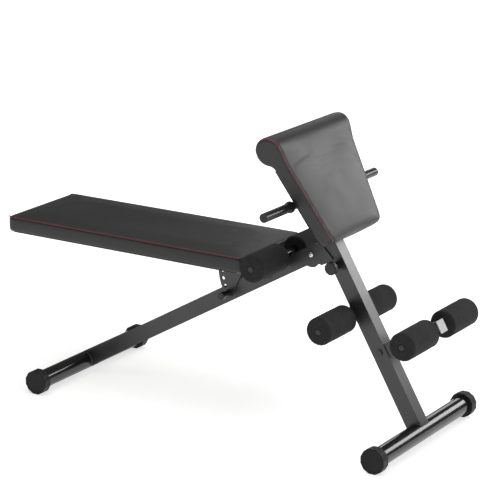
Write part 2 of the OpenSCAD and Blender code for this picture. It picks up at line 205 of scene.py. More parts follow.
def spread(tree, source, low, high, fromLow=0.35, fromHigh=0.65):
    n = tree.nodes.new("ShaderNodeMapRange")
    n.inputs["From Min"].default_value = fromLow
    n.inputs["From Max"].default_value = fromHigh
    n.inputs["To Min"].default_value = low
    n.inputs["To Max"].default_value = high
    tree.links.new(source, n.inputs["Value"])
    return n.outputs["Result"]


def blendColours(tree, factor, dark, light):
    n = tree.nodes.new("ShaderNodeMix")
    n.data_type = "RGBA"
    n.inputs["A"].default_value = (*dark, 1)
    n.inputs["B"].default_value = (*light, 1)
    tree.links.new(factor, n.inputs["Factor"])
    return n.outputs["Result"]


def addBump(tree, shader, height, distance, strength=1.0, under=None):
    n = tree.nodes.new("ShaderNodeBump")
    n.inputs["Distance"].default_value = distance
    n.inputs["Strength"].default_value = strength
    tree.links.new(height, n.inputs["Height"])
    if under is not None:
        tree.links.new(under, n.inputs["Normal"])
    tree.links.new(n.outputs["Normal"], shader.inputs["Normal"])
    return n.outputs["Normal"]


powderCoat = {"dark": (0.014, 0.014, 0.015), "light": (0.022, 0.022, 0.023), "rough": (0.30, 0.40),
              "peelSize": 0.0016, "peelDepth": 0.00006}


def makePowderCoat():
    mat, tree, shader, where = newMaterial("powderCoatBlack")
    broad = noiseNode(tree, where, 9, 4)
    peel = noiseNode(tree, where, 1 / powderCoat["peelSize"], 2)
    tree.links.new(blendColours(tree, broad.outputs["Fac"], powderCoat["dark"], powderCoat["light"]),
                   shader.inputs["Base Color"])
    tree.links.new(spread(tree, broad.outputs["Fac"], *powderCoat["rough"]), shader.inputs["Roughness"])
    shader.inputs["Specular IOR Level"].default_value = 0.72
    addBump(tree, shader, peel.outputs["Fac"], powderCoat["peelDepth"], 0.6)
    return mat


enamel = {"colour": (0.008, 0.008, 0.009), "colourWorn": (0.014, 0.014, 0.015), "rough": (0.11, 0.16),
          "waveSize": 0.012, "waveDepth": 0.00008}


def makeEnamel():
    mat, tree, shader, where = newMaterial("glossEnamelBlack")
    scuff = noiseNode(tree, where, 45, 5, 0.7)
    wave = noiseNode(tree, where, 1 / enamel["waveSize"], 1)
    tree.links.new(blendColours(tree, scuff.outputs["Fac"], enamel["colour"], enamel["colourWorn"]),
                   shader.inputs["Base Color"])
    tree.links.new(spread(tree, scuff.outputs["Fac"], *enamel["rough"]), shader.inputs["Roughness"])
    shader.inputs["Specular IOR Level"].default_value = 0.4
    addBump(tree, shader, wave.outputs["Fac"], enamel["waveDepth"], 0.35)
    return mat


coverVinyl = {"dark": (0.013, 0.013, 0.013), "light": (0.022, 0.022, 0.022), "rough": (0.40, 0.50),
              "grainSize": 0.0017, "grainDepth": 0.00016, "creaseDepth": 0.0005}


def makeCoverVinyl():
    mat, tree, shader, where = newMaterial("upholsteryVinylBlack")
    warp = noiseNode(tree, where, 260, 2)
    shift = tree.nodes.new("ShaderNodeVectorMath")
    shift.operation = "SCALE"
    shift.inputs["Scale"].default_value = 0.0012
    tree.links.new(warp.outputs["Color"], shift.inputs[0])
    warped = tree.nodes.new("ShaderNodeVectorMath")
    warped.operation = "ADD"
    tree.links.new(where, warped.inputs[0])
    tree.links.new(shift.outputs["Vector"], warped.inputs[1])
    cells = tree.nodes.new("ShaderNodeTexVoronoi")
    cells.feature = "DISTANCE_TO_EDGE"
    cells.inputs["Scale"].default_value = 1 / coverVinyl["grainSize"]
    tree.links.new(warped.outputs["Vector"], cells.inputs["Vector"])
    grain = spread(tree, cells.outputs["Distance"], 0, 1, 0.0, 0.28)
    broad = noiseNode(tree, where, 7, 5, 0.6)
    creases = noiseNode(tree, where, 26, 4, 0.5)
    tree.links.new(blendColours(tree, broad.outputs["Fac"], coverVinyl["dark"], coverVinyl["light"]),
                   shader.inputs["Base Color"])
    tree.links.new(spread(tree, broad.outputs["Fac"], *coverVinyl["rough"]), shader.inputs["Roughness"])
    shader.inputs["Specular IOR Level"].default_value = 0.45
    low = addBump(tree, shader, creases.outputs["Fac"], coverVinyl["creaseDepth"], 0.35)
    addBump(tree, shader, grain, coverVinyl["grainDepth"], 0.5, low)
    return mat


pipingVinyl = {"dark": (0.075, 0.010, 0.016), "light": (0.13, 0.022, 0.032), "grainSize": 0.0009}


def makePipingVinyl():
    mat, tree, shader, where = newMaterial("pipingVinylRed")
    grain = noiseNode(tree, where, 1 / pipingVinyl["grainSize"], 2)
    broad = noiseNode(tree, where, 60, 3)
    tree.links.new(blendColours(tree, broad.outputs["Fac"], pipingVinyl["dark"], pipingVinyl["light"]),
                   shader.inputs["Base Color"])
    tree.links.new(spread(tree, broad.outputs["Fac"], 0.32, 0.5), shader.inputs["Roughness"])
    addBump(tree, shader, grain.outputs["Fac"], 0.0001, 0.5)
    return mat


rollerFoam = {"dark": (0.008, 0.008, 0.008), "light": (0.037, 0.037, 0.037), "poreSize": 0.0014,
              "poreDepth": 0.0005}


def makeRollerFoam():
    mat, tree, shader, where = newMaterial("rollerFoamBlack")
    pores = tree.nodes.new("ShaderNodeTexVoronoi")
    pores.inputs["Scale"].default_value = 1 / rollerFoam["poreSize"]
    tree.links.new(where, pores.inputs["Vector"])
    fuzz = noiseNode(tree, where, 1300, 3, 0.7)
    broad = noiseNode(tree, where, 30, 4, 0.6)
    mixed = tree.nodes.new("ShaderNodeMath")
    mixed.operation = "MULTIPLY_ADD"
    mixed.inputs[1].default_value = 0.7
    tree.links.new(pores.outputs["Distance"], mixed.inputs[0])
    tree.links.new(fuzz.outputs["Fac"], mixed.inputs[2])
    speckle = tree.nodes.new("ShaderNodeMath")
    speckle.operation = "MULTIPLY"
    tree.links.new(mixed.outputs["Value"], speckle.inputs[0])
    tree.links.new(spread(tree, broad.outputs["Fac"], 0.46, 0.56), speckle.inputs[1])
    tree.links.new(blendColours(tree, spread(tree, speckle.outputs["Value"], 0, 1, 0.25, 0.7),
                                rollerFoam["dark"], rollerFoam["light"]), shader.inputs["Base Color"])
    tree.links.new(spread(tree, fuzz.outputs["Fac"], 0.82, 0.98), shader.inputs["Roughness"])
    shader.inputs["Specular IOR Level"].default_value = 0.25
    addBump(tree, shader, mixed.outputs["Value"], rollerFoam["poreDepth"], 0.55)
    return mat


def makePlastic(name, dark, light, rough, grain, depth, gloss=0.5):
    mat, tree, shader, where = newMaterial(name)
    shader.inputs["Specular IOR Level"].default_value = gloss
    broad = noiseNode(tree, where, 55, 4, 0.65)
    fine = noiseNode(tree, where, 1 / grain, 2)
    tree.links.new(blendColours(tree, broad.outputs["Fac"], dark, light), shader.inputs["Base Color"])
    tree.links.new(spread(tree, broad.outputs["Fac"], *rough), shader.inputs["Roughness"])
    addBump(tree, shader, fine.outputs["Fac"], depth, 0.5)
    return mat


def makeSteel(name, dark, light, rough, brushed):
    mat, tree, shader, where = newMaterial(name)
    stretch = tree.nodes.new("ShaderNodeMapping")
    stretch.inputs["Scale"].default_value = brushed
    tree.links.new(where, stretch.inputs["Vector"])
    lines = noiseNode(tree, stretch.outputs["Vector"], 400, 3)
    tree.links.new(blendColours(tree, lines.outputs["Fac"], dark, light), shader.inputs["Base Color"])
    tree.links.new(spread(tree, lines.outputs["Fac"], *rough), shader.inputs["Roughness"])
    shader.inputs["Metallic"].default_value = 1.0
    addBump(tree, shader, lines.outputs["Fac"], 0.00003, 0.4)
    return mat


def makePlywood():
    mat, tree, shader, where = newMaterial("plywoodRaw")
    stretch = tree.nodes.new("ShaderNodeMapping")
    stretch.inputs["Scale"].default_value = (4, 40, 40)
    tree.links.new(where, stretch.inputs["Vector"])
    fibres = noiseNode(tree, stretch.outputs["Vector"], 6, 6, 0.65)
    fine = noiseNode(tree, where, 900, 2)
    tree.links.new(blendColours(tree, fibres.outputs["Fac"], (0.20, 0.13, 0.075), (0.40, 0.28, 0.17)),
                   shader.inputs["Base Color"])
    tree.links.new(spread(tree, fine.outputs["Fac"], 0.6, 0.8), shader.inputs["Roughness"])
    addBump(tree, shader, fibres.outputs["Fac"], 0.0003, 0.5)
    return mat


print("finishes")
finish = {
    "black_steel": makePowderCoat(),
    "gloss_black_steel": makeEnamel(),
    "zinc_steel": makeSteel("blackZincSteel", (0.045, 0.045, 0.047), (0.085, 0.085, 0.088),
                            (0.30, 0.44), (1, 1, 1)),
    "axle_steel": makeSteel("drawnSteel", (0.07, 0.07, 0.073), (0.12, 0.12, 0.124),
                            (0.26, 0.40), (1, 0.05, 1)),
    "black_plastic": makePlastic("mouldedPlasticBlack", (0.010, 0.010, 0.011), (0.018, 0.018, 0.019),
                                 (0.38, 0.52), 0.0008, 0.00008),
    "cap_plastic": makePlastic("footCapPlasticBlack", (0.005, 0.005, 0.005), (0.010, 0.010, 0.010),
                               (0.42, 0.58), 0.0007, 0.0001, 0.25),
    "grip_vinyl": makePlastic("dippedGripBlack", (0.008, 0.008, 0.009), (0.014, 0.014, 0.015),
                              (0.22, 0.32), 0.006, 0.00003, 0.35),
    "vinyl": makeCoverVinyl(),
    "foam": makeRollerFoam(),
    "plywood": makePlywood(),
}
piping = makePipingVinyl()
brightSteel = makeSteel("brightZincSteel", (0.55, 0.55, 0.56), (0.75, 0.75, 0.76),
                        (0.18, 0.30), (1, 1, 1))


def dress(obj, slot, material=None):
    obj.data.materials.clear()
    obj.data.materials.append(material or finish[slot])


palePlug = makePlastic("plugPlasticPale", (0.34, 0.34, 0.34), (0.44, 0.44, 0.43),
                       (0.30, 0.42), 0.0008, 0.00008)


# every CAD node that stays gets its own finish; the black steel, black plastic, zinc steel, plywood and
# grip ones, bar the round bushes, sleeves and springs, get slightly eased edges
eased = {"black_steel": 0.0012, "black_plastic": 0.0008, "zinc_steel": 0.0005, "plywood": 0.0008,
         "grip_vinyl": 0.0016}
plainRound = ("hinge_bush", "hinge_sleeve", "height_spring", "lock_spring", "pivot_sleeve")
for part in frame["record"]["subparts"]:
    node, slot = part["node"], part["material_slot"]
    for place in nodes[node].material_slots:
        place.material = palePlug if node == "arm_end_cap" else finish[slot]
    if slot in eased and node not in plainRound:
        bevelEdges(nodes[node], eased[slot])


# cushions

def softRemesh(obj, voxel):
    mod = obj.modifiers.new("even", "REMESH")
    mod.mode = "VOXEL"
    mod.voxel_size = voxel
    mod.use_smooth_shade = True
    applyModifiers(obj)


def inflate(obj, held, pressure, cap, frames=20):
    # held(point) is 1 where the cover is fixed down and 0 where the foam can push it out
    start = np.array([v.co[:] for v in obj.data.vertices])
    group = obj.vertex_groups.new(name="held")
    for v in obj.data.vertices:
        weight = held(v.co)
        if weight > 0:
            group.add([v.index], weight, "REPLACE")
    mod = obj.modifiers.new("stuffing", "CLOTH")
    cloth = mod.settings
    cloth.quality = 5
    cloth.mass = 0.3
    cloth.tension_stiffness = 25
    cloth.compression_stiffness = 25
    cloth.shear_stiffness = 12
    cloth.bending_stiffness = 1.5
    cloth.use_pressure = True
    cloth.uniform_pressure_force = pressure
    cloth.vertex_group_mass = "held"
    cloth.pin_stiffness = 1.0
    cloth.effector_weights.gravity = 0
    mod.point_cache.frame_start = 1
    mod.point_cache.frame_end = frames
    scene = bpy.context.scene
    for f in range(1, frames + 1):
        scene.frame_set(f)
    shape = obj.evaluated_get(bpy.context.evaluated_depsgraph_get()).data
    puffed = np.array([v.co[:] for v in shape.vertices])
    travel = puffed - start
    length = np.linalg.norm(travel, axis=1, keepdims=True)
    travel *= np.minimum(1, cap / np.maximum(length, 1e-9))
    obj.modifiers.clear()
    obj.vertex_groups.clear()
    obj.data.vertices.foreach_set("co", (start + travel).ravel())
    obj.data.update()
    scene.frame_set(1)
    print("  most travel", round(float(length.max()) * 1000, 1), "mm")


def subdivide(obj, levels=1):
    mod = obj.modifiers.new("smooth", "SUBSURF")
    mod.levels = mod.render_levels = levels
    applyModifiers(obj)


def moveVertices(obj, how):
    normals = [v.normal.copy() for v in obj.data.vertices]
    for v, normal in zip(obj.data.vertices, normals):
        v.co += how(v.co, normal)
    obj.data.update()


def pillow(distance, width):
    # 1 at a line, falling to 0 a few widths away
    return math.exp(-(distance / width) ** 2)


# both covers stop a little short of the plywood's back, and are glued down near it
plywoodShows = 0.0012
gluedDepth = 0.013

# board: a flat boxed cushion that wraps its plywood
board = {"cornerRound": 0.012, "edgeRound": 0.006, "shrink": 0.0030, "coverThick": 0.0012,
         "pipingDrop": 0.0052, "pipingRound": 0.0019, "pipingSet": 0.0010, "pressure": 5.0,
         "cap": 0.0045, "voxel": 0.005, "seamDepth": 0.0009, "seamReach": 0.012}


def roundedRectangle(x0, x1, halfWide, radius, inset, steps=10, straight=1):
    x0, x1, halfWide, radius = x0 + inset, x1 - inset, halfWide - inset, max(radius - inset, 0.002)
    corners = []
    for cx, cy, start in ((x1 - radius, halfWide - radius, 0), (x0 + radius, halfWide - radius, 90),
                          (x0 + radius, radius - halfWide, 180), (x1 - radius, radius - halfWide, 270)):
        corners.append([(cx + radius * math.cos(t), cy + radius * math.sin(t))
                        for t in np.radians(np.linspace(start, start + 90, steps + 1))])
    out = []
    for i, corner in enumerate(corners):
        out += corner
        (xa, ya), (xb, yb) = corner[-1], corners[(i + 1) % 4][0]
        out += [(xa + (xb - xa) * k / straight, ya + (yb - ya) * k / straight)
                for k in range(1, straight)]
    return out


def makeBoard():
    low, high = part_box("board_cushion")
    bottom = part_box("board_base")[0][2] + plywoodShows
    top = high[2] - board["shrink"]
    x0, x1, halfWide = low[0], high[0], high[1]
    r = board["edgeRound"]
    profile = [(0.0015, bottom), (-board["coverThick"], bottom + 0.003)]
    profile += [(-board["coverThick"], bottom + (top - bottom) * t) for t in (0.25, 0.4, 0.55, 0.7)]
    profile += [(r * (1 - math.cos(a)) - board["coverThick"], top - r + r * math.sin(a))
                for a in (0, math.pi / 6, math.pi / 3, math.pi / 2)]
    rings = [[(x, y, z) for x, y in roundedRectangle(x0, x1, halfWide, board["cornerRound"], inset)]
             for inset, z in profile]
    points, faces = joinRings(rings)
    cover = makeMesh("boardCover", points, faces)
    softRemesh(cover, board["voxel"])
    seam = high[2] - board["pipingDrop"]

    def held(p):
        if p.z < bottom + gluedDepth:
            return 1.0
        edge = min(halfWide - abs(p.y), p.x - x0, x1 - p.x)
        return 0.9 * pillow(p.z - seam, 0.004) if edge < board["seamReach"] else 0.0

    inflate(cover, held, board["pressure"], board["cap"])

    def seamPull(p, normal):
        edge = min(halfWide - abs(p.y), p.x - x0, x1 - p.x)
        if edge >= board["seamReach"]:
            return Vector((0, 0, 0))
        return Vector((normal.x, normal.y, 0)) * -board["seamDepth"] * pillow(p.z - seam, 0.0035)

    subdivide(cover)
    moveVertices(cover, seamPull)
    dress(cover, "vinyl")
    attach(cover, "board")
    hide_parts("board_cushion")

    r = board["cornerRound"]
    for name, side in (("boardPipingNear", -1), ("boardPipingFar", 1)):
        sunk = board["pipingSet"]
        line = [(x0 + r * (1 - math.sin(t)), side * (halfWide - r * (1 - math.cos(t)) - sunk), seam)
                for t in np.radians([62, 45, 30, 15])]
        line += [(x, side * (halfWide - sunk), seam) for x in np.linspace(x0 + r, x1 - r, 120)]
        line += [(x1 - r * (1 - math.sin(t)), side * (halfWide - r * (1 - math.cos(t)) - sunk), seam)
                 for t in np.radians([15, 30, 45, 62])]
        cord = sweep(name, resample(line, 0.006), board["pipingRound"], 10)
        dress(cord, "vinyl", piping)
        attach(cord, "board")
    return x0, x1, halfWide


print("board cushion")
boardX0, boardX1, boardHalf = makeBoard()


# hip pad: a panel that narrows downwards, rolled over at its top
pad = {"edgeRound": 0.006, "shrink": 0.0020, "coverThick": 0.0012, "cornerRound": 0.024,
       "frontCorner": 0.010, "neckDrop": 0.05, "pipingRound": 0.0019, "pipingDrop": 0.0050,
       "pipingSet": 0.0009, "crown": 0.0010, "pressure": 5.0, "cap": 0.005, "voxel": 0.005}


def padShape():
    # the pad's sizes along its own axes, from the CAD solids
    baseBack, baseFront = reach("pad_base", ahead)
    points = [v.co for v in nodes["pad_cushion"].data.vertices]
    rollFront = max(ahead.dot(p) for p in points)
    rollBack = min(ahead.dot(p) for p in points)
    low, high = reach("pad_cushion", upAxis)
    radius = (rollFront - rollBack) / 2
    lowPoints = [p for p in points if upAxis.dot(p) < low + 0.1]
    front = max(ahead.dot(p) for p in lowPoints)
    topHalf = max(abs(p.y) for p in points if upAxis.dot(p) > high - radius)
    bottomHalf = max(abs(p.y) for p in points if upAxis.dot(p) < low + 0.03)
    return {"back": baseBack, "front": front, "low": low, "high": high, "rollRadius": radius,
            "rollAhead": (rollFront + rollBack) / 2, "rollUp": high - radius,
            "topHalf": topHalf, "bottomHalf": bottomHalf}


def padProfile(s, inset):
    # closed outline in (ahead, up), from the bottom front corner up, round the roll and down the back
    r = s["rollRadius"] - inset
    cx, cz = s["rollAhead"], s["rollUp"]
    front = s["front"] + pad["crown"] - inset
    back = s["back"] + plywoodShows + inset / 4
    low = s["low"] - pad["coverThick"] + inset
    out = []
    corner = pad["frontCorner"]
    for k in range(5):  # bottom front corner
        t = math.radians(-90 + 90 * k / 4)
        out.append((front - corner + corner * math.cos(t), low + corner + corner * math.sin(t)))
    blend0 = cz - 0.048
    steps = 30
    for k in range(1, steps + 1):
        u = low + corner + (blend0 - low - corner) * k / steps
        out.append((front, u))
    for k in range(1, 9):  # eased run from the panel's front onto the roll
        t = k / 9
        ease = t * t * (3 - 2 * t)
        out.append((front + (cx + r - front) * ease, blend0 + (cz - blend0) * t))
    for k in range(41):  # the roll
        t = math.radians(240 * k / 40)
        out.append((cx + r * math.cos(t), cz + r * math.sin(t)))
    last = out[-1]
    neckUp = cz - r - 0.006
    for k in range(1, 8):  # under the roll and onto the back
        t = k / 8
        ease = t * t * (3 - 2 * t)
        out.append((last[0] + (back - last[0]) * (t ** 0.7), last[1] + (neckUp - last[1]) * ease))
    for k in range(31):  # down the back
        out.append((back, neckUp + (low + 0.006 - neckUp) * k / 30))
    out.append((back + 0.004, low))
    return out


def padHalf(s, u):
    # half width at a height, with the rounded bottom corners
    slope = (s["topHalf"] - s["bottomHalf"]) / (s["high"] - s["low"])
    half = s["bottomHalf"] + slope * (u - s["low"])
    r = pad["cornerRound"]
    d = max(0.0, r - (u - s["low"]))
    return half - (r - math.sqrt(max(0.0, r * r - min(d, r) ** 2)))


def makePad():
    s = padShape()
    e = pad["edgeRound"]
    # across the pad: rounded edge, flat, rounded edge
    edge = [(e * (1 - math.sin(a)) + pad["shrink"], e * (1 - math.cos(a)) - pad["coverThick"])
            for a in (0, math.pi / 6, math.pi / 3, math.pi / 2)]
    rings = []
    for profileInset, sideInset in edge:
        rings.append([(f, -(padHalf(s, u) - sideInset), u) for f, u in padProfile(s, profileInset)])
    spans = 12
    outer = padProfile(s, pad["shrink"])
    for k in range(1, spans):
        t = -1 + 2 * k / spans
        rings.append([(f, t * (padHalf(s, u) - e + pad["coverThick"]), u) for f, u in outer])
    for profileInset, sideInset in reversed(edge):
        rings.append([(f, padHalf(s, u) - sideInset, u) for f, u in padProfile(s, profileInset)])
    rings = [[leaning(f, y, u) for f, y, u in ring] for ring in rings]
    points, faces = joinRings(rings)
    cover = makeMesh("hipPadCover", points, faces)
    softRemesh(cover, pad["voxel"])

    def sideGap(p):
        return padHalf(s, upAxis.dot(p)) - abs(p.y)

    def held(p):
        f, u = ahead.dot(p), upAxis.dot(p)
        if f < s["back"] + gluedDepth and u < s["rollUp"] - pad["neckDrop"]:
            return 1.0
        return 0.8 * pillow(sideGap(p) - 0.003, 0.006)

    inflate(cover, held, pad["pressure"], pad["cap"])
    subdivide(cover)
    dress(cover, "vinyl")
    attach(cover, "pad")
    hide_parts("pad_cushion")

    # piping down both side seams, from behind the roll to the bottom corner
    outline = padProfile(s, pad["pipingDrop"])
    stop = next(i for i, (f, u) in enumerate(outline) if f < s["rollAhead"] - 0.006 and u > s["rollUp"])
    for name, side in (("hipPadPipingNear", -1), ("hipPadPipingFar", 1)):
        line = [leaning(f, side * (padHalf(s, u) - pad["pipingSet"]), u) for f, u in outline[:stop]]
        cord = sweep(name, resample(line, 0.005), pad["pipingRound"], 10)
        dress(cord, "vinyl", piping)
        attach(cord, "pad")
    return s


print("hip pad")
padSizes = makePad()


# cover hems and staples, on the undersides

hem = {"width": 0.021, "thick": 0.0010, "wave": 0.0022, "gather": 0.0005, "setIn": 0.0015,
       "boardCorner": 0.024, "rollGap": 0.008, "stapleGap": 0.034, "stapleLength": 0.0100,
       "stapleWire": 0.00045}


def makeHem(name, body, outlineAt, place, away, closed, gatherAt):
    # outlineAt(inset) gives the outline's points on the underside, place turns one into 3-D
    count = len(outlineAt(0.0))
    inside = [(0.0004, 0.0002), (0.0016, -hem["thick"] * 1.1), (hem["width"] * 0.5, -hem["thick"]),
              (hem["width"] * 0.97, -hem["thick"] * 0.9), (hem["width"], 0.0002)]
    rings = []
    for inset, drop in inside:
        ring = []
        edge = outlineAt(inset)
        further = outlineAt(inset + 0.001)
        for i in range(count):
            wander = hem["wave"] * noise.noise(Vector((i * 0.23, inset * 3, 1.7)))
            t = wander * (inset / hem["width"]) ** 2 / 0.001
            x, y = (edge[i][k] + (further[i][k] - edge[i][k]) * t for k in (0, 1))
            pleat = hem["gather"] * math.sin(i * 2.4) * gatherAt(x, y) * (inset / hem["width"])
            ring.append(Vector(place(x, y)) + away * (-drop + pleat))
        rings.append(ring)
    points = [p for ring in rings for p in ring]
    faces = []
    for i in range(len(rings)):
        nextRing = (i + 1) % len(rings)
        for j in range(count if closed else count - 1):
            k = (j + 1) % count
            faces.append((i * count + j, i * count + k, nextRing * count + k, nextRing * count + j))
    if not closed:
        faces.append(tuple(i * count for i in range(len(rings))))
        faces.append(tuple(i * count + count - 1 for i in range(len(rings))))
    strip = makeMesh(name, points, faces)
    dress(strip, "vinyl")
    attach(strip, body)

    # staples lie along the hem, a little askew
    line = [Vector(place(x, y)) for x, y in outlineAt(hem["width"] * 0.62)]
    spots = resample(line, hem["stapleGap"], closed)
    points, faces = [], []
    for n, spot in enumerate(spots[1:-1] if not closed else spots):
        near = min(range(count), key=lambda i: (line[i] - spot).length)
        run = (line[(near + 1) % count] - line[near - 1 if near else 0]).normalized()
        inward = away.cross(run).normalized()
        run = (run + inward * 0.35 * noise.noise(Vector((n * 1.9, 0.4, 2.0)))).normalized()
        lift = away * (hem["thick"] + hem["stapleWire"] * 0.7)
        half = hem["stapleLength"] / 2
        path = [spot - run * half, spot - run * half + lift * 0.8, spot - run * half * 0.93 + lift,
                spot + run * half * 0.93 + lift, spot + run * half + lift * 0.8, spot + run * half]
        side = run.cross(away).normalized()
        base = len(points)
        for i, p in enumerate(path):
            up = away if 1 < i < 4 else (run if i >= 4 else -run)
            for a in range(6):
                t = math.tau * a / 6
                points.append(p + (side * math.cos(t) + up * math.sin(t)) * hem["stapleWire"])
        for i in range(len(path) - 1):
            first = base + i * 6
            for a in range(6):
                b = (a + 1) % 6
                faces.append((first + a, first + b, first + 6 + b, first + 6 + a))
        faces.append(tuple(base + a for a in range(6)))
        faces.append(tuple(base + (len(path) - 1) * 6 + a for a in range(6)))
    wires = makeMesh(name + "Staples", points, faces)
    dress(wires, "zinc_steel", brightSteel)
    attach(wires, body)


def padBackOutline(s, inset, top):
    r = pad["cornerRound"]
    out = [(-(padHalf(s, u) - inset), u) for u in np.linspace(top, s["low"] + r + 0.002, 40)]
    centreU = s["low"] + r
    centreY = padHalf(s, centreU) - r
    for a in np.radians(np.linspace(0, 90, 10)):
        out.append((-(centreY + (r - inset) * math.cos(a)), centreU - (r - inset) * math.sin(a)))
    return out + [(-y, u) for y, u in reversed(out)]


print("hems")
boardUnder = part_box("board_base")[0][2]
padHemTop = padSizes["rollUp"] - padSizes["rollRadius"] - hem["rollGap"]
makeHem("boardHem", "board",
        lambda inset: roundedRectangle(boardX0, boardX1, boardHalf, hem["boardCorner"],
                                       inset + hem["setIn"], 10, 40),
        lambda x, y: (x, y, boardUnder), Vector((0, 0, -1)), True,
        lambda x, y: pillow(min(x - boardX0, boardX1 - x) + boardHalf - abs(y), 0.06))
makeHem("hipPadHem", "pad",
        lambda inset: padBackOutline(padSizes, inset + hem["setIn"], padHemTop),
        lambda y, u: leaning(padSizes["back"], y, u), -ahead, False,
        lambda y, u: pillow(u - padSizes["low"], 0.03) * pillow(padSizes["bottomHalf"] - abs(y), 0.03))


# weld beads

weld = {"bead": 0.0024, "ripple": 0.0003, "pitch": 0.0026, "cornerRound": 0.004}


def makeWeld(name, body, path, closed=True):
    even = resample(path, weld["pitch"] / 3, closed)
    radii = [weld["bead"] + weld["ripple"] * math.cos(math.tau * i / 3)
             + 0.0002 * noise.noise(Vector((i * 0.21, 3.0, 0.5))) for i in range(len(even))]
    bead = sweep(name, even, radii, 8, closed=closed)
    dress(bead, "black_steel")
    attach(bead, body)


def tubeToBar(name, body, tubeNode, barNode, along, sideways):
    # a box tube meets a round floor bar that runs along Y
    bar = middle(barNode)
    barRadius = (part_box(barNode)[1][2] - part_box(barNode)[0][2]) / 2
    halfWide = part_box(tubeNode)[1][1]
    low, high = reach(tubeNode, sideways)
    halfDeep = (high - low) / 2
    centre = (high + low) / 2 - sideways.dot(bar)
    r = weld["cornerRound"]
    path = []
    for cy, cs, start in ((halfWide - r, halfDeep - r, 0), (r - halfWide, halfDeep - r, 90),
                          (r - halfWide, r - halfDeep, 180), (halfWide - r, r - halfDeep, 270)):
        for k in range(6):
            t = math.radians(start + 18 * k)
            y, d = cy + r * math.cos(t), cs + r * math.sin(t)
            path.append((y, d))
    spots = []
    for i in range(len(path)):
        (y0, d0), (y1, d1) = path[i], path[(i + 1) % len(path)]
        steps = max(1, int(math.hypot(y1 - y0, d1 - d0) / 0.003))
        for k in range(steps):
            y, d = y0 + (y1 - y0) * k / steps, d0 + (d1 - d0) * k / steps + centre
            rise = math.sqrt(max(0.0, barRadius ** 2 - d * d))
            spots.append(bar + across * y + sideways * d + along * (rise + 0.0006))
    makeWeld(name, body, spots)


print("welds")
tubeToBar("uprightWeld", "front_frame", "front_upright", "front_foot_bar", upAxis, ahead)
tubeToBar("rearLegWeld", "rear_leg", "rear_leg", "rear_foot_bar", ahead, upAxis)
bossLow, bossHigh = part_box("heel_axle_boss")
bossRadius = (bossHigh[2] - bossLow[2]) / 2
for side in (-1, 1):
    centre = middle("heel_axle_boss")
    centre.y = side * (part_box("front_upright")[1][1] + 0.0006)
    ring = [centre + ahead * (bossRadius * math.cos(t)) + upAxis * (bossRadius * math.sin(t))
            for t in np.linspace(0, math.tau, 60, endpoint=False)]
    makeWeld("bossWeld" + ("Near" if side < 0 else "Far"), "front_frame", ring)


# hinge rivet

rivet = {"bushWall": 0.002, "clear": 0.0001, "dome": 0.0012, "proud": 0.0004}


def makeRivet():
    centre = middle("hinge_bush")
    low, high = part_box("hinge_bush")
    bore = (high[2] - low[2]) / 2 - rivet["bushWall"] - rivet["clear"]
    end = high[1] + rivet["proud"]
    half = [(0.0002, end + rivet["dome"]), (bore * 0.4, end + rivet["dome"] * 0.88),
            (bore * 0.7, end + rivet["dome"] * 0.6), (bore * 0.92, end + rivet["dome"] * 0.2),
            (bore, end - 0.0006), (bore, end - 0.004), (bore, 0.0)]
    profile = half + [(r, -y) for r, y in reversed(half[:-1])]
    profile += [(0.0002, 0.0)]
    pin = lathe("hingeRivet", centre, profile, 48)
    dress(pin, "axle_steel", brightSteel)
    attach(pin, "front_frame")


makeRivet()


# foam rollers

roller = {"axleRadius": 0.0080, "boreGap": 0.0004, "outerRound": 0.008, "innerRound": 0.005,
          "dish": 0.0007, "barrel": 0.0004, "ripple": 0.00018, "turns": 120}


def makeRoller(node, body):
    low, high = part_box(node)
    centre = middle(node)
    radius = (high[0] - low[0]) / 2
    side = 1 if centre.y > 0 else -1
    inner, outer = (low[1], high[1]) if side > 0 else (-high[1], -low[1])
    bore = roller["axleRadius"] + roller["boreGap"]
    outR, inR = roller["outerRound"], roller["innerRound"]
    profile = [(bore, inner + 0.001), (bore + 0.001, inner)]
    profile += [(bore + (radius - inR - bore) * t, inner) for t in (0.3, 0.6, 0.85)]
    profile += [(radius - inR + inR * math.sin(a), inner + inR - inR * math.cos(a))
                for a in np.radians([0, 22, 45, 67, 90])]
    for k in range(1, 24):
        t = k / 24
        profile.append((radius - roller["barrel"] + roller["barrel"] * math.sin(math.pi * t),
                        inner + inR + (outer - outR - inner - inR) * t))
    profile += [(radius - outR + outR * math.cos(a), outer - outR + outR * math.sin(a))
                for a in np.radians([0, 15, 30, 45, 60, 75, 90])]
    flat = radius - outR
    profile += [(flat - 0.0008, outer - 0.0004), (flat - 0.002, outer - 0.0005)]
    profile += [(bore + (flat - bore) * t, outer - roller["dish"]) for t in (0.75, 0.5, 0.25)]
    face = outer - roller["dish"]
    profile += [(bore + 0.0012, face), (bore + 0.0003, face - 0.0007), (bore, outer - 0.004)]
    obj = lathe(node + "Sleeve", centre, [(r, side * y) for r, y in profile], roller["turns"])
    # the moulding is never quite even
    moveVertices(obj, lambda p, normal: normal * roller["ripple"] * noise.noise(p * 90))
    dress(obj, "foam")
    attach(obj, body)
    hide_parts(node)


print("foam rollers")
for name in ("front_foam_near", "front_foam_far", "heel_foam_near", "heel_foam_far",
             "knee_foam_near", "knee_foam_far"):
    makeRoller(name, name)


# foot caps

footCap = {"sides": 12, "edge": 0.0022, "lipBack": 0.0012, "skirt": 0.026, "faceDish": 0.0010}


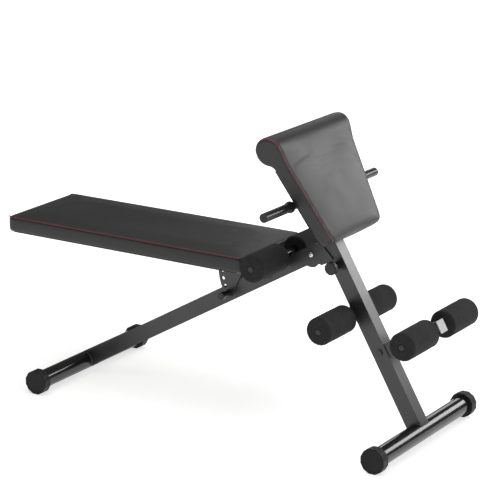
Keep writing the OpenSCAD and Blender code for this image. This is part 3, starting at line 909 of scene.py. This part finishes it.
def makeFootCaps(node, body):
    low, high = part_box(node)
    centre = middle(node)
    apothem = (high[2] - low[2]) / 2
    corner = apothem / math.cos(math.pi / footCap["sides"])
    e = footCap["edge"]
    for side in (-1, 1):
        outer = high[1]
        back = outer - footCap["skirt"]
        lip = footCap["lipBack"]
        profile = [(corner - 0.009, back), (corner - lip, back), (corner, back + lip), (corner, outer - e),
                   (corner - e * 0.3, outer - e * 0.3), (corner - e, outer),
                   (corner - 0.004, outer), (corner - 0.0052, outer - footCap["faceDish"]),
                   (0.001, outer - footCap["faceDish"])]
        rings = []
        for radius, y in profile:
            ring = []
            for k in range(footCap["sides"]):
                for part in (-0.44, -0.2, 0.2, 0.44):
                    t = math.tau * (k + part) / footCap["sides"]
                    off = math.tau * part / footCap["sides"]
                    flat = radius * math.cos(math.pi / footCap["sides"]) / math.cos(off)
                    ring.append((centre.x + flat * math.sin(t + math.pi), side * y,
                                 centre.z + flat * math.cos(t + math.pi)))
            rings.append(ring)
        points, faces = joinRings(rings)
        cap = makeMesh(node + ("Far" if side > 0 else "Near"), points, faces, smooth=False)
        dress(cap, "cap_plastic")
        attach(cap, body)
        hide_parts(node)


print("foot caps")
makeFootCaps("front_foot_caps", "front_frame")
makeFootCaps("rear_foot_caps", "rear_leg")


# stage, light and camera

stage = {"floorSize": 60, "floorColour": (0.62, 0.62, 0.62), "floorRough": 0.35, "glow": (0.64, 1.0),
         "glowAt": (0.6, 2.2)}


def makeFloor():
    half = stage["floorSize"] / 2
    floor = makeMesh("floor", [(-half, -half, 0), (half, -half, 0), (half, half, 0), (-half, half, 0)],
                     [(0, 1, 2, 3)])
    mat, tree, shader, where = newMaterial("paleFloor")
    shader.inputs["Base Color"].default_value = (*stage["floorColour"], 1)
    shader.inputs["Roughness"].default_value = stage["floorRough"]
    shader.inputs["Emission Color"].default_value = (1, 1, 1, 1)
    # the floor glows, more away from the bench: the shadows stay pale and the distance white
    far = tree.nodes.new("ShaderNodeVectorMath")
    far.operation = "LENGTH"
    tree.links.new(where, far.inputs[0])
    tree.links.new(spread(tree, far.outputs["Value"], *stage["glow"], *stage["glowAt"]),
                   shader.inputs["Emission Strength"])
    floor.data.materials.append(mat)


def softbox(name, place, aim, size, power):
    lamp = bpy.data.lights.new(name, "AREA")
    lamp.shape = "RECTANGLE"
    lamp.size, lamp.size_y = size
    lamp.energy = power
    obj = bpy.data.objects.new(name, lamp)
    obj.location = place
    obj.rotation_mode = "QUATERNION"
    obj.rotation_quaternion = (Vector(aim) - Vector(place)).to_track_quat("-Z", "Y")
    bpy.context.scene.collection.objects.link(obj)


camera = {"aim": (0.0518, 0.0, 0.4325), "azimuth": 32.62, "elevation": 16.22, "distance": 5.587,
          "lens": 157.54}


def makeCamera():
    a, e = math.radians(camera["azimuth"]), math.radians(camera["elevation"])
    back = Vector((math.sin(a) * math.cos(e), -math.cos(a) * math.cos(e), math.sin(e)))
    lens = bpy.data.cameras.new("camera")
    lens.lens = camera["lens"]
    lens.sensor_width = 36
    lens.clip_end = 200
    obj = bpy.data.objects.new("camera", lens)
    obj.location = Vector(camera["aim"]) + back * camera["distance"]
    obj.rotation_mode = "QUATERNION"
    obj.rotation_quaternion = back.to_track_quat("Z", "Y")
    bpy.context.scene.collection.objects.link(obj)
    bpy.context.scene.camera = obj


lights = {"overheadPower": 145, "backRightPower": 42, "backPower": 7, "frontRightPower": 30,
          "surround": 0.13}


def makeLight():
    softbox("overhead", (0.2, -0.2, 4.2), (0.1, 0, 0), (4.4, 4.4), lights["overheadPower"])
    # glances off the upright's and the hip pad's front faces and along the foot bars
    softbox("backRight", (1.75, 2.55, 1.45), (0.3, 0, 0.35), (2.0, 0.8), lights["backRightPower"])
    # lifts the right end of the board's top
    softbox("back", (-0.9, 2.9, 1.35), (0.1, 0, 0.45), (1.0, 1.0), lights["backPower"])
    softbox("frontRight", (3.6, -1.2, 2.4), (0.3, 0, 0.4), (1.6, 1.6), lights["frontRightPower"])
    world = bpy.data.worlds.new("studio")
    bpy.context.scene.world = world
    world.use_nodes = True
    tree = world.node_tree
    dim = tree.nodes["Background"]
    dim.inputs["Color"].default_value = (1, 1, 1, 1)
    dim.inputs["Strength"].default_value = lights["surround"]
    # the backdrop looks white, and gives less light than it shows
    white = tree.nodes.new("ShaderNodeBackground")
    white.inputs["Color"].default_value = (1, 1, 1, 1)
    path = tree.nodes.new("ShaderNodeLightPath")
    choose = tree.nodes.new("ShaderNodeMixShader")
    tree.links.new(path.outputs["Is Camera Ray"], choose.inputs["Fac"])
    tree.links.new(dim.outputs["Background"], choose.inputs[1])
    tree.links.new(white.outputs["Background"], choose.inputs[2])
    tree.links.new(choose.outputs["Shader"], tree.nodes["World Output"].inputs["Surface"])
    bpy.context.scene.view_settings.view_transform = "Standard"


print("stage")
makeFloor()
makeLight()
makeCamera()
